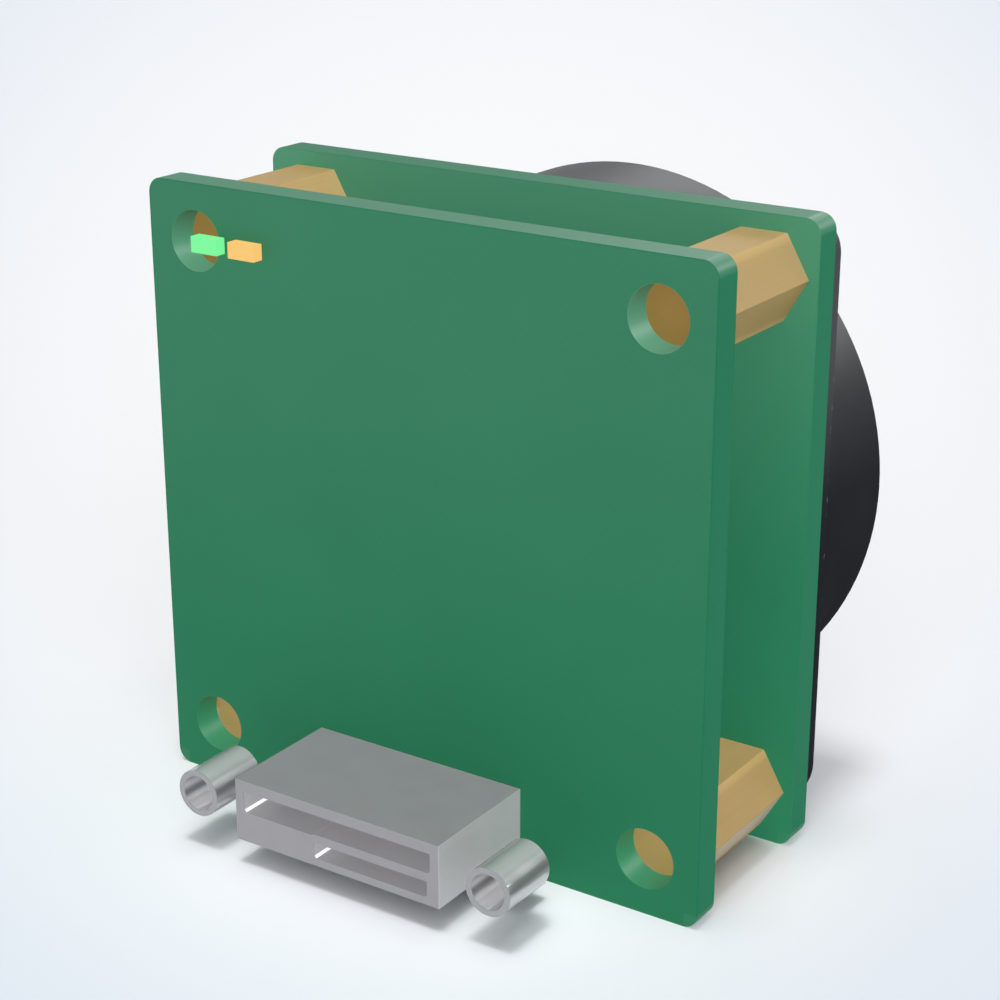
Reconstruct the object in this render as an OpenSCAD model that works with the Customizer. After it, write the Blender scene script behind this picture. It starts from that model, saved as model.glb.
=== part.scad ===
// Board camera module: two square circuit boards held apart by four hexagonal
// spacers, with a lens mount in front and a locking socket at the back.
// The lens looks along +Y and +Z is up. The origin is the centre of the
// lens ring's front face.

/* [Boards] */
// Width of both circuit boards
board_w = 32; // [30:0.5:60]
// Height of both circuit boards
board_h = 32; // [30:0.5:60]
// Thickness of both circuit boards
board_t = 1.6; // [0.8:0.1:2.4]
// Radius of the boards' corners
board_r = 0.8; // [0.2:0.1:2]
// Distance from the boards' edges to the corner holes' centres
hole_inset = 2.9; // [2.7:0.05:3.2]
// Diameter of the rear board's corner holes
rear_hole_d = 3.1; // [1.5:0.1:3.8]

/* [Spacers and screws] */
// Length of a spacer, which is the gap between the boards
spacer_l = 8; // [7:0.5:14]
// Size of a spacer across its corners
spacer_d = 4.8; // [4:0.1:5.6]
// How much deeper the tapped bore is than the screw reaches
bore_spare = 0.6; // [0.2:0.1:1]
// Nominal diameter of the countersunk screws
screw_d = 2; // [1.6:0.1:2.4]
// Overall length of a countersunk screw
screw_l = 8; // [6:0.5:9]
// Diameter of a screw's head
screw_head_d = 3.8; // [3:0.1:4.2]
// Size of a screw's hexagonal recess, across its corners
screw_key_d = 1.45; // [1:0.05:1.8]
// Depth of a screw's recess
screw_key_l = 0.7; // [0.4:0.1:1]
// Gap all round a screw in a plain hole
screw_clear = 0.1; // [0.05:0.05:0.3]
// Gap all round a screw in its tapped bore
thread_clear = 0.02; // [0.01:0.01:0.05]

/* [Lens mount] */
// How far the mounting plate stays in from the boards' edges
plate_inset = 0.45; // [0:0.05:0.7]
// Thickness of the mounting plate
plate_t = 1.6; // [1.4:0.1:3]
// Radius of the mounting plate's upper corners
plate_r = 1.8; // [0.5:0.1:2.5]
// Radius of the mounting plate's lower corners
plate_low_r = 2.8; // [1.5:0.1:3]
// Least wall that a lower corner leaves round its countersink
countersink_wall = 0.2; // [0.1:0.05:0.3]
// Outer diameter of the lens ring
ring_d = 30.3; // [29:0.1:31]
// Height of the lens ring above the plate
ring_l = 7.15; // [6.6:0.05:16]
// Diameter of the bore for the lens thread
lens_bore_d = 25.4; // [24:0.1:26]
// Diameter of the spigot that holds the ring in the plate
spigot_d = 23; // [22.4:0.1:24]
// How far the spigot's end stays inside the plate
spigot_short = 0.4; // [0.2:0.1:0.8]
// Gap all round the spigot
spigot_clear = 0.02; // [0.01:0.01:0.1]
// Gap between the sensor package's corners and the ring's pocket
pocket_clear = 0.5; // [0.2:0.1:0.8]
// Width of the small bevel on the ring's front edge
ring_bevel = 0.1; // [0.05:0.05:0.6]
// Diameter of the light opening between sensor and lens
aperture_d = 13; // [11:0.1:14]
// Thickness of the lip that the filter rests on
filter_lip_t = 0.5; // [0.3:0.05:0.7]

/* [Filter] */
// Diameter of the filter glass
filter_d = 16.4; // [15.5:0.1:17]
// Thickness of the filter glass
filter_t = 0.8; // [0.5:0.1:0.9]
// Gap all round the filter glass
filter_clear = 0.1; // [0.05:0.05:0.2]
// Outer diameter of the ring that holds the filter
retainer_d = 19; // [17.8:0.1:20]
// Thickness of the ring that holds the filter
retainer_t = 0.8; // [0.5:0.1:1]
// Inner diameter of the ring that holds the filter
retainer_hole_d = 14.4; // [13.4:0.1:15]
// Width of the two key slots in the ring that holds the filter
retainer_slot_w = 1.2; // [0.6:0.1:2]

/* [Image sensor] */
// Width and height of the sensor's ceramic package
sensor_w = 13; // [12.4:0.1:13.6]
// Thickness of the package
sensor_t = 2; // [1.7:0.05:2.2]
// Width of the package's cavity
cavity_w = 10; // [9.4:0.1:10.4]
// Height of the package's cavity
cavity_h = 9; // [8:0.1:9.6]
// Thickness of the cavity's floor
cavity_floor_t = 0.7; // [0.4:0.05:0.8]
// Width of the sensor die
die_w = 8.4; // [6:0.1:9]
// Height of the sensor die
die_h = 7; // [5:0.1:7.6]
// Thickness of the sensor die
die_t = 0.5; // [0.2:0.05:0.55]
// Width of the cover glass
cover_w = 11.4; // [10.8:0.1:11.7]
// Height of the cover glass
cover_h = 10.6; // [10:0.1:11.4]
// Thickness of the cover glass
cover_t = 0.5; // [0.3:0.05:0.6]
// Gap all round the cover glass
cover_clear = 0.05; // [0.02:0.01:0.1]
// Thickness of the dust seal on the package
seal_t = 0.4; // [0.2:0.05:0.6]
// Width of the dust seal's band
seal_w = 0.6; // [0.4:0.05:0.65]

/* [Socket] */
// Width of the socket's housing
usb_w = 12.2; // [11.8:0.1:14]
// Height of the socket's housing
usb_h = 3.3; // [3.2:0.05:3.6]
// Length of the socket's housing, out from the board
usb_l = 6.83; // [6:0.01:9]
// Height of the socket's centre line above the board's lower edge
usb_rise = 2.9; // [2.6:0.1:5]
// Width of the upper slot
upper_slot_w = 11.16; // [10.8:0.02:11.3]
// Height of the upper slot
upper_slot_h = 1.04; // [0.9:0.02:1.1]
// Thickness of the wall above the upper slot
usb_wall = 0.57; // [0.5:0.01:0.7]
// How much lower the left part of the upper slot's floor lies
slot_step = 0.08; // [0.04:0.01:0.12]
// Width of the lower slot
lower_slot_w = 6.67; // [6.2:0.01:6.9]
// Height of the lower slot
lower_slot_h = 0.83; // [0.7:0.01:0.86]
// Thickness of the bridge between the slots
bridge_t = 0.46; // [0.4:0.01:0.55]
// Distance from the lower slot's right end to the housing's side
lower_slot_side = 0.7; // [0.5:0.01:0.9]
// Size of the bevels along the slots' floors
slot_bevel = 0.12; // [0.06:0.01:0.16]
// Distance from the mouth back to the tongues
tongue_set = 1.8; // [1.7:0.1:2.5]
// Length of the tongues
tongue_l = 2.6; // [1.5:0.1:3]
// Gap between the insulator and the housing
insulator_clear = 0.03; // [0.02:0.01:0.06]
// Gap between a tongue's ends and its slot
tongue_clear = 0.6; // [0.3:0.05:0.8]
// Thickness of the upper tongue
upper_tongue_t = 0.4; // [0.3:0.02:0.46]
// Thickness of the lower tongue
lower_tongue_t = 0.3; // [0.2:0.02:0.36]
// Thickness of the rear web that joins both tongues
insulator_web_t = 1; // [0.6:0.1:1.4]
// Number of contacts on each tongue
usb_contacts_n = 5; // [3:1:7]
// Distance between neighbouring contacts
usb_contact_pitch = 0.95; // [0.6:0.05:1]
// Width of a contact
usb_contact_w = 0.3; // [0.2:0.02:0.4]
// How far a contact stays behind its tongue's tip
usb_contact_set = 0.2; // [0.1:0.05:0.5]
// Thickness of a contact
usb_contact_t = 0.1; // [0.05:0.01:0.14]

/* [Socket locks] */
// Distance between the two lock posts
post_pitch = 17.42; // [16.4:0.02:19]
// Outer diameter of a lock post
post_d = 2.46; // [2.3:0.02:2.8]
// Diameter of a lock post's tapped bore
post_bore_d = 1.83; // [1.6:0.01:1.95]
// Length of a lock post
post_l = 3.31; // [2.6:0.01:4]
// How far the posts' front ends stay behind the socket's mouth
post_set = 0.17; // [0:0.01:0.4]
// Thickness of a lock post's closed end
post_end_t = 0.5; // [0.3:0.05:0.8]
// Diameter of the rivet on a lock post's closed end
rivet_d = 0.8; // [0.5:0.05:1]
// Thickness of the bracket's sheet metal
bracket_t = 0.4; // [0.3:0.02:0.5]
// Diameter of the bracket's round lugs
lug_d = 1.6; // [1.4:0.02:1.8]
// How far the bracket's feet stand in from its lugs
foot_in = 0.6; // [0.3:0.05:0.8]
// Width of the bracket's feet
foot_w = 1.2; // [0.8:0.05:1.4]
// How far the bracket's plate stays in from the housing's sides
bracket_inset = 0.6; // [0.3:0.1:1]
// Width of the bracket's strip, along the optical axis
strip_l = 1.9; // [1.2:0.1:2.2]
// Gap all round a rivet or a soldered tab
tab_clear = 0.03; // [0.01:0.01:0.06]
// Width of a soldered tab
tab_w = 1.2; // [0.6:0.1:1.6]
// Thickness of a soldered tab
tab_t = 0.3; // [0.2:0.02:0.36]
// How far the tabs' ends stay inside the board
tab_short = 0.4; // [0.1:0.1:0.7]

/* [Indicator lights] */
// Length of an indicator light
led_w = 1.6; // [1.2:0.1:2]
// Height of an indicator light
led_h = 0.8; // [0.6:0.05:1.2]
// How far an indicator light stands out from the board
led_t = 0.64; // [0.4:0.02:0.9]
// Distance between the two lights, centre to centre
led_pitch = 2.34; // [2:0.02:4]
// Distance from the board's left edge to the green light's centre
led_edge = 3.96; // [3.6:0.02:6]

/* [Board link] */
// Width of the connectors between the boards
link_w = 17; // [14:0.5:19]
// Depth of the connectors between the boards
link_d = 4.6; // [4:0.1:5.4]
// Height of the socket half on the rear board
link_socket_l = 5; // [4:0.1:5.6]
// Distance from the boards' upper edge down to the link's centre line
link_drop = 8.6; // [7.6:0.1:9]
// Width of the plug's tongue
link_tongue_w = 15; // [12:0.5:15.4]
// Depth of the plug's tongue
link_tongue_d = 2; // [1.4:0.1:2.6]
// Length of the plug's tongue
link_tongue_l = 2.6; // [1.5:0.1:3]
// Gap all round the tongue in its slot
link_clear = 0.05; // [0.03:0.01:0.1]
// Number of contacts along each side of the link
link_contacts_n = 15; // [8:1:16]
// Distance between neighbouring contacts of the link
link_contact_pitch = 1; // [0.6:0.05:1.05]
// Width of a contact's foot
link_foot_w = 0.35; // [0.2:0.05:0.5]
// Length of a contact's foot beside the connector
link_foot_l = 0.6; // [0.3:0.05:0.8]
// Thickness of a contact's foot
link_foot_t = 0.2; // [0.1:0.02:0.3]

/* [Circuit parts] */
// Width and height of the interface chip
controller_w = 10; // [8:0.5:11]
// Thickness of the interface chip
controller_t = 1.2; // [0.8:0.1:1.6]
// Width of the image memory
memory_w = 8; // [6:0.5:9]
// Height of the image memory
memory_h = 9; // [6:0.5:10]
// Thickness of the image memory
memory_t = 1; // [0.7:0.1:1.4]
// Gap between neighbouring circuit parts
chip_gap = 0.8; // [0.5:0.1:1]
// Distance from the middle to the interface chip's right side
chip_split = 1.2; // [0:0.1:2]
// Distance from the board's left edge to the clock oscillator
oscillator_edge = 3.4; // [3:0.1:3.8]
// Width of the clock oscillator
oscillator_w = 2.5; // [2:0.1:3]
// Height of the clock oscillator
oscillator_h = 3.2; // [2.5:0.1:4]
// Thickness of the clock oscillator
oscillator_t = 0.9; // [0.6:0.1:1.2]
// Width and height of a power inductor
inductor_w = 3.6; // [3:0.1:4]
// Radius of a power inductor's corners
inductor_r = 0.6; // [0.2:0.1:1]
// Thickness of a power inductor
inductor_t = 1.8; // [1.2:0.1:2.4]
// Width and height of a voltage regulator
regulator_w = 3; // [2:0.1:3.4]
// Thickness of a voltage regulator
regulator_t = 0.9; // [0.6:0.1:1.2]
// Length of a ceramic capacitor
capacitor_w = 1.6; // [1:0.1:1.8]
// Height of a ceramic capacitor
capacitor_h = 0.8; // [0.5:0.1:0.9]
// Thickness of a ceramic capacitor
capacitor_t = 0.8; // [0.5:0.1:0.9]
// Number of capacitors in the row on each board
capacitors_n = 6; // [2:1:7]
// Distance between neighbouring capacitors
capacitor_pitch = 2.6; // [2.4:0.1:3]

/* [Hidden] */
$fn = 64;
// How far a cut runs past the faces that it opens
cut = 1;

hole_x = board_w / 2 - hole_inset;
hole_z = board_h / 2 - hole_inset;

// Largest lower corner of the mounting plate that leaves the countersinks their wall
low_corner_limit = (sqrt(2) * (hole_inset - plate_inset) - screw_head_d / 2 - screw_clear
    - countersink_wall) / (sqrt(2) - 1);

// Places along the optical axis, from the lens ring's face back to the rear board
plate_front_y = -ring_l;
front_board_y = plate_front_y - plate_t - board_t;
front_board_face_y = front_board_y + board_t;
rear_board_face_y = front_board_y - spacer_l;
rear_board_y = rear_board_face_y - board_t;
mouth_y = rear_board_y - usb_l;

// Stack inside the lens ring
sensor_top_y = front_board_face_y + sensor_t;
lip_y = sensor_top_y + seal_t;
filter_y = lip_y + filter_lip_t;
retainer_y = filter_y + filter_t;
lens_bore_y = retainer_y + retainer_t;
spacer_bore_l = screw_l - plate_t - board_t + bore_spare;

// Socket
usb_z = -board_h / 2 + usb_rise;
upper_slot_top = usb_h / 2 - usb_wall;
upper_floor = upper_slot_top - upper_slot_h;
lower_slot_top = upper_floor - bridge_t;
lower_slot_bottom = lower_slot_top - lower_slot_h;
lower_slot_x1 = usb_w / 2 - lower_slot_side;
lower_slot_x0 = lower_slot_x1 - lower_slot_w;
tongue_y = mouth_y + tongue_set;
insulator_y = tongue_y + tongue_l;
upper_tongue_z = (upper_slot_top + upper_floor) / 2;
lower_tongue_z = (lower_slot_top + lower_slot_bottom) / 2;
post_y = mouth_y + post_set;
post_back_y = post_y + post_l;
bracket_z = usb_z - usb_h / 2 - bracket_t;
housing_tab_z = usb_z + usb_h / 2 - usb_wall / 2;
bracket_tab_z = bracket_z + bracket_t / 2;
tab_x = usb_w / 2 - tab_w;
tab_l = board_t - tab_short;

// Link between the boards, and the circuit parts above and below it
link_z = board_h / 2 - link_drop;
chip_top = link_z - link_d / 2 - link_foot_l - chip_gap;
controller_x = chip_split - controller_w / 2;
controller_z = chip_top - controller_w / 2;
memory_x = chip_split + chip_gap + memory_w / 2;
memory_z = chip_top - memory_h / 2;
oscillator_x = -board_w / 2 + oscillator_edge + oscillator_w / 2;
power_z = chip_top - max(controller_w, memory_h) - chip_gap - inductor_w / 2;
power_step = (inductor_w + regulator_w) / 2 + chip_gap;
capacitor_z = link_z + link_d / 2 + link_foot_l + chip_gap + capacitor_h / 2;

board_colour = [0.20, 0.50, 0.36];
brass_colour = [0.72, 0.62, 0.39];
black_colour = [0.12, 0.13, 0.15];
steel_colour = [0.62, 0.63, 0.64];
bright_colour = [0.78, 0.78, 0.79];
gold_colour = [0.83, 0.68, 0.30];
plastic_colour = [0.10, 0.10, 0.11];
chip_colour = [0.15, 0.15, 0.16];
ceramic_colour = [0.82, 0.80, 0.74];

// Thickens a shape drawn in X and Z from y towards the lens by t
module from_y(y, t) {
    translate([0, y + t, 0])
        rotate([90, 0, 0])
            linear_extrude(t)
                children();
}

// Turns a profile drawn as radius and Y round the optical axis
module turned() {
    rotate([-90, 0, 0])
        rotate_extrude($fn = 128)
            children();
}

// Round bar of diameter d from y towards the lens
module bar(y, l, d) {
    translate([0, y, 0])
        rotate([-90, 0, 0])
            cylinder(h = l, d = d);
}

// Box of width w and height h, centred on x and z, from y towards the lens
module chip(x, z, y, w, h, t) {
    translate([x - w / 2, y, z - h / 2])
        cube([w, t, h]);
}

module rounded_rectangle(w, h, r) {
    square([w - 2 * r, h], center = true);
    square([w, h - 2 * r], center = true);
    for (x = [-1, 1], z = [-1, 1])
        translate([x * (w / 2 - r), z * (h / 2 - r)])
            circle(r);
}

// Rectangle with corners of radius r above and low_r below
module plate_outline(w, h, r, low_r) {
    translate([-w / 2, low_r - h / 2])
        square([w, h - r - low_r]);
    translate([r - w / 2, 0])
        square([w - 2 * r, h / 2]);
    translate([low_r - w / 2, -h / 2])
        square([w - 2 * low_r, h / 2]);
    for (x = [-1, 1]) {
        translate([x * (w / 2 - r), h / 2 - r])
            circle(r);
        translate([x * (w / 2 - low_r), low_r - h / 2])
            circle(low_r);
    }
}

module at_corners() {
    for (x = [-hole_x, hole_x], z = [-hole_z, hole_z])
        translate([x, 0, z])
            children();
}

module at_posts() {
    for (x = [-1, 1])
        translate([x * post_pitch / 2, 0, usb_z])
            children();
}

// Two soldered tabs at height z, grown all round by a gap
module tabs(z, y, l, gap = 0) {
    for (x = [-tab_x, tab_x])
        chip(x, z, y, tab_w + 2 * gap, tab_t + 2 * gap, l);
}

module rear_board() {
    color(board_colour)
        difference() {
            from_y(rear_board_y, board_t)
                rounded_rectangle(board_w, board_h, board_r);
            at_corners()
                bar(rear_board_y - cut, board_t + 2 * cut, rear_hole_d);
            for (z = [housing_tab_z, bracket_tab_z])
                tabs(z, rear_board_y - cut, board_t + 2 * cut, tab_clear);
        }
}

module front_board() {
    color(board_colour)
        difference() {
            from_y(front_board_y, board_t)
                rounded_rectangle(board_w, board_h, board_r);
            at_corners()
                bar(front_board_y - cut, board_t + 2 * cut, screw_d + 2 * screw_clear);
        }
}

// Hexagonal spacers with a plain rear face and a tapped blind bore in front
module spacers() {
    color(brass_colour)
        at_corners()
            difference() {
                from_y(rear_board_face_y, spacer_l)
                    circle(d = spacer_d, $fn = 6);
                bar(front_board_y - spacer_bore_l, spacer_bore_l + cut,
                    screw_d + 2 * thread_clear);
            }
}

// Countersunk head, as a profile of radius and distance ahead of the plate's face
module countersink(gap) {
    head_l = (screw_head_d - screw_d) / 2;
    translate([0, plate_front_y - head_l, 0])
        rotate([-90, 0, 0])
            cylinder(h = head_l, d1 = screw_d + 2 * gap, d2 = screw_head_d + 2 * gap);
}

module front_screws() {
    color(black_colour)
        at_corners()
            difference() {
                union() {
                    bar(plate_front_y - screw_l, screw_l, screw_d);
                    countersink(0);
                }
                from_y(plate_front_y - screw_key_l, screw_key_l + cut)
                    circle(d = screw_key_d, $fn = 6);
            }
}

module lens_plate() {
    color(black_colour)
        difference() {
            from_y(front_board_face_y, plate_t)
                plate_outline(board_w - 2 * plate_inset, board_h - 2 * plate_inset,
                    plate_r, min(plate_low_r, low_corner_limit));
            bar(front_board_face_y - cut, plate_t + 2 * cut, spigot_d + 2 * spigot_clear);
            at_corners() {
                bar(front_board_face_y - cut, plate_t + 2 * cut, screw_d + 2 * screw_clear);
                countersink(screw_clear);
            }
        }
}

// One turned profile: spigot, pocket for the sensor, filter seat, retainer seat
// and the bore for the lens thread
module lens_ring() {
    outer = ring_d / 2;
    spigot = spigot_d / 2;
    pocket = sensor_w / sqrt(2) + pocket_clear;
    spigot_y = front_board_face_y + spigot_short;
    filter_seat = filter_d / 2 + filter_clear;
    retainer_seat = retainer_d / 2 + filter_clear;
    bore = lens_bore_d / 2;
    color(black_colour)
        turned()
            polygon([
                [pocket, spigot_y],
                [spigot, spigot_y],
                [spigot, plate_front_y],
                [outer, plate_front_y],
                [outer, -ring_bevel],
                [outer - ring_bevel, 0],
                [bore, 0],
                [bore, lens_bore_y],
                [retainer_seat, lens_bore_y],
                [retainer_seat, retainer_y],
                [filter_seat, retainer_y],
                [filter_seat, filter_y],
                [aperture_d / 2, filter_y],
                [aperture_d / 2, lip_y],
                [pocket, lip_y]
            ]);
}

module filter_glass() {
    color([0.55, 0.75, 0.72, 0.6])
        bar(filter_y, filter_t, filter_d);
}

// Flat ring with two slots for a pin key
module filter_retainer() {
    color(black_colour)
        difference() {
            bar(retainer_y, retainer_t, retainer_d);
            bar(retainer_y - cut, retainer_t + 2 * cut, retainer_hole_d);
            chip(0, 0, retainer_y + retainer_t / 2, retainer_d + cut, retainer_slot_w, retainer_t);
        }
}

module sensor_package() {
    cover_y = sensor_top_y - cover_t;
    color(ceramic_colour)
        difference() {
            chip(0, 0, front_board_face_y, sensor_w, sensor_w, sensor_t);
            chip(0, 0, front_board_face_y + cavity_floor_t, cavity_w, cavity_h, sensor_t);
            chip(0, 0, cover_y, cover_w + 2 * cover_clear, cover_h + 2 * cover_clear, sensor_t);
        }
}

module sensor_die() {
    color([0.30, 0.26, 0.38])
        chip(0, 0, front_board_face_y + cavity_floor_t, die_w, die_h, die_t);
}

module sensor_cover_glass() {
    color([0.75, 0.85, 0.88, 0.5])
        chip(0, 0, sensor_top_y - cover_t, cover_w, cover_h, cover_t);
}

// Square band between the sensor's package and the lens ring
module sensor_seal() {
    color(plastic_colour)
        difference() {
            chip(0, 0, sensor_top_y, sensor_w, sensor_w, seal_t);
            chip(0, 0, sensor_top_y - cut, sensor_w - 2 * seal_w, sensor_w - 2 * seal_w,
                seal_t + 2 * cut);
        }
}

// Outline of the upper slot, shrunk all round by a gap. The floor's left part
// lies a step lower and its ends are bevelled.
module upper_slot(gap) {
    side = upper_slot_w / 2 - gap;
    top = upper_slot_top - gap;
    right_floor = upper_floor + gap;
    left_floor = right_floor - slot_step;
    polygon([
        [-side, top],
        [-side, left_floor + slot_bevel],
        [-side + slot_bevel, left_floor],
        [lower_slot_x0 - slot_step, left_floor],
        [lower_slot_x0, right_floor],
        [side - slot_bevel, right_floor],
        [side, right_floor + slot_bevel],
        [side, top]
    ]);
}

module lower_slot(gap) {
    x0 = lower_slot_x0 + gap;
    x1 = lower_slot_x1 - gap;
    top = lower_slot_top - gap;
    bottom = lower_slot_bottom + gap;
    polygon([
        [x0, top],
        [x0, bottom + slot_bevel],
        [x0 + slot_bevel, bottom],
        [x1 - slot_bevel, bottom],
        [x1, bottom + slot_bevel],
        [x1, top]
    ]);
}

// Opening behind the bridge, where the insulator joins both slots
module rear_web(gap) {
    translate([lower_slot_x0 + slot_bevel + gap, lower_slot_top - slot_bevel])
        square([lower_slot_w - 2 * slot_bevel - 2 * gap, bridge_t + 2 * slot_bevel]);
}

module usb_housing() {
    web_y = rear_board_y - insulator_web_t - insulator_clear;
    color(steel_colour) {
        translate([0, 0, usb_z])
            difference() {
                from_y(mouth_y, usb_l)
                    square([usb_w, usb_h], center = true);
                from_y(mouth_y - cut, usb_l + 2 * cut) {
                    upper_slot(0);
                    lower_slot(0);
                }
                from_y(web_y, insulator_web_t + cut)
                    rear_web(0);
            }
        tabs(housing_tab_z, rear_board_y, tab_l);
    }
}

module usb_insulator() {
    base_l = rear_board_y - insulator_y;
    upper_w = upper_slot_w - 2 * tongue_clear;
    lower_w = lower_slot_w - 2 * tongue_clear;
    color(plastic_colour)
        translate([0, 0, usb_z]) {
            from_y(insulator_y, base_l) {
                upper_slot(insulator_clear);
                lower_slot(insulator_clear);
            }
            from_y(rear_board_y - insulator_web_t, insulator_web_t)
                rear_web(insulator_clear);
            chip(0, upper_tongue_z, tongue_y, upper_w, upper_tongue_t, tongue_l);
            chip((lower_slot_x0 + lower_slot_x1) / 2, lower_tongue_z, tongue_y,
                lower_w, lower_tongue_t, tongue_l);
        }
}

// Flat springs on the tongues' lower faces
module usb_contacts() {
    lower_x = (lower_slot_x0 + lower_slot_x1) / 2;
    upper_z = usb_z + upper_tongue_z - (upper_tongue_t + usb_contact_t) / 2;
    lower_z = usb_z + lower_tongue_z - (lower_tongue_t + usb_contact_t) / 2;
    contact_y = tongue_y + usb_contact_set;
    contact_l = tongue_l - usb_contact_set;
    color(gold_colour)
        for (i = [0 : usb_contacts_n - 1]) {
            x = (i - (usb_contacts_n - 1) / 2) * usb_contact_pitch;
            chip(x, upper_z, contact_y, usb_contact_w, usb_contact_t, contact_l);
            chip(lower_x + x, lower_z, contact_y, usb_contact_w, usb_contact_t, contact_l);
        }
}

// Tapped tubes beside the socket, closed and riveted at the back
module lock_posts() {
    color(bright_colour)
        at_posts()
            difference() {
                union() {
                    bar(post_y, post_l, post_d);
                    bar(post_back_y, bracket_t, rivet_d - 2 * tab_clear);
                }
                bar(post_y - cut, post_l - post_end_t + cut, post_bore_d);
            }
}

// Lug round a lock post's rivet, with its foot down to the strip
module bracket_lug(x, foot_x) {
    translate([x, usb_z])
        circle(d = lug_d);
    polygon([
        [x, usb_z],
        [x - lug_d / 2, usb_z],
        [foot_x, bracket_z + bracket_t],
        [foot_x, bracket_z],
        [foot_x + foot_w, bracket_z],
        [x + lug_d / 2 * cos(-60), usb_z + lug_d / 2 * sin(-60)]
    ]);
}

// Bent strip under the socket with two lugs that carry the posts
module lock_bracket() {
    lug_x = post_pitch / 2;
    foot_x = lug_x - lug_d / 2 - foot_in;
    color(steel_colour) {
        difference() {
            from_y(post_back_y, bracket_t)
                for (side = [0, 1])
                    mirror([side, 0])
                        bracket_lug(lug_x, foot_x);
            at_posts()
                bar(post_back_y - cut, bracket_t + 2 * cut, rivet_d);
        }
        chip(0, bracket_tab_z, post_back_y, 2 * (foot_x + foot_w), bracket_t, strip_l);
        chip(0, bracket_tab_z, post_back_y, usb_w - 2 * bracket_inset, bracket_t,
            rear_board_y - post_back_y);
        tabs(bracket_tab_z, rear_board_y, tab_l);
    }
}

module led(x) {
    chip(x, hole_z, rear_board_y - led_t, led_w, led_h, led_t);
}

module led_green() {
    color([0.51, 1.0, 0.61])
        led(-board_w / 2 + led_edge);
}

module led_amber() {
    color([0.99, 0.78, 0.45])
        led(-board_w / 2 + led_edge + led_pitch);
}

module link_socket() {
    color(plastic_colour)
        difference() {
            chip(0, link_z, rear_board_face_y, link_w, link_d, link_socket_l);
            chip(0, link_z, rear_board_face_y + link_socket_l - link_tongue_l - link_clear,
                link_tongue_w + 2 * link_clear, link_tongue_d + 2 * link_clear, link_socket_l);
        }
}

module link_plug() {
    plug_l = spacer_l - link_socket_l;
    color(plastic_colour) {
        chip(0, link_z, front_board_y - plug_l, link_w, link_d, plug_l);
        chip(0, link_z, front_board_y - plug_l - link_tongue_l,
            link_tongue_w, link_tongue_d, link_tongue_l);
    }
}

// Soldered feet along both halves of the link
module link_contacts() {
    foot_z = (link_d + link_foot_l) / 2;
    color(gold_colour)
        for (i = [0 : link_contacts_n - 1], side = [-1, 1]) {
            x = (i - (link_contacts_n - 1) / 2) * link_contact_pitch;
            z = link_z + side * foot_z;
            chip(x, z, rear_board_face_y, link_foot_w, link_foot_l, link_foot_t);
            chip(x, z, front_board_y - link_foot_t, link_foot_w, link_foot_l, link_foot_t);
        }
}

module usb_controller() {
    color(chip_colour)
        chip(controller_x, controller_z, rear_board_face_y,
            controller_w, controller_w, controller_t);
}

module frame_memory() {
    color(chip_colour)
        chip(memory_x, memory_z, rear_board_face_y, memory_w, memory_h, memory_t);
}

module clock_oscillator() {
    color(bright_colour)
        chip(oscillator_x, controller_z, rear_board_face_y,
            oscillator_w, oscillator_h, oscillator_t);
}

// Shielded coils with rounded corners, either side of the first regulator
module power_inductors() {
    color([0.30, 0.30, 0.32])
        for (side = [-1, 1])
            translate([side * power_step, 0, power_z])
                from_y(rear_board_face_y, inductor_t)
                    rounded_rectangle(inductor_w, inductor_w, inductor_r);
}

module power_regulators() {
    color(chip_colour) {
        chip(0, power_z, rear_board_face_y, regulator_w, regulator_w, regulator_t);
        for (x = [-power_step, power_step])
            chip(x, power_z, front_board_y - regulator_t, regulator_w, regulator_w, regulator_t);
    }
}

module bypass_capacitors() {
    color([0.62, 0.50, 0.36])
        for (i = [0 : capacitors_n - 1]) {
            x = (i - (capacitors_n - 1) / 2) * capacitor_pitch;
            chip(x, capacitor_z, rear_board_face_y, capacitor_w, capacitor_h, capacitor_t);
            chip(x, capacitor_z, front_board_y - capacitor_t, capacitor_w, capacitor_h, capacitor_t);
        }
}

rear_board();
front_board();
spacers();
front_screws();
lens_plate();
lens_ring();
filter_glass();
filter_retainer();
sensor_package();
sensor_die();
sensor_cover_glass();
sensor_seal();
usb_housing();
usb_insulator();
usb_contacts();
lock_posts();
lock_bracket();
led_green();
led_amber();
link_socket();
link_plug();
link_contacts();
usb_controller();
frame_memory();
clock_oscillator();
power_inductors();
power_regulators();
bypass_capacitors();
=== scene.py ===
"""Dresses the board camera module: finishes for its solid parts, and the small
pieces that the solids leave out, such as threads, solder, copper and bond wires."""

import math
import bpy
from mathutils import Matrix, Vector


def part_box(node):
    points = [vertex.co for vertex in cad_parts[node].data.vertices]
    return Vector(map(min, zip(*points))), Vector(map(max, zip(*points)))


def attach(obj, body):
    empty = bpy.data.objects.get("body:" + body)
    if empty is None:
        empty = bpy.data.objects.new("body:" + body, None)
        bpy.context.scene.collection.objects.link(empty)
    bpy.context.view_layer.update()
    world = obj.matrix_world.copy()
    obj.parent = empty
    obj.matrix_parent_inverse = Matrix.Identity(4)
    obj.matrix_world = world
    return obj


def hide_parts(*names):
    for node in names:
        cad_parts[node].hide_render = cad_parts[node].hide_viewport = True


bl_info = {
    "name": "Camera Module",
    "version": (1, 0, 0),
    "blender": (4, 5, 0),
    "location": "3D View > Sidebar > Camera Module",
    "description": "Finishes, small parts and a studio for a board camera module",
    "category": "Object",
}

import bmesh
import bpy
from bpy.props import FloatProperty, FloatVectorProperty, IntProperty, PointerProperty
from mathutils import Matrix, Vector

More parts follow.
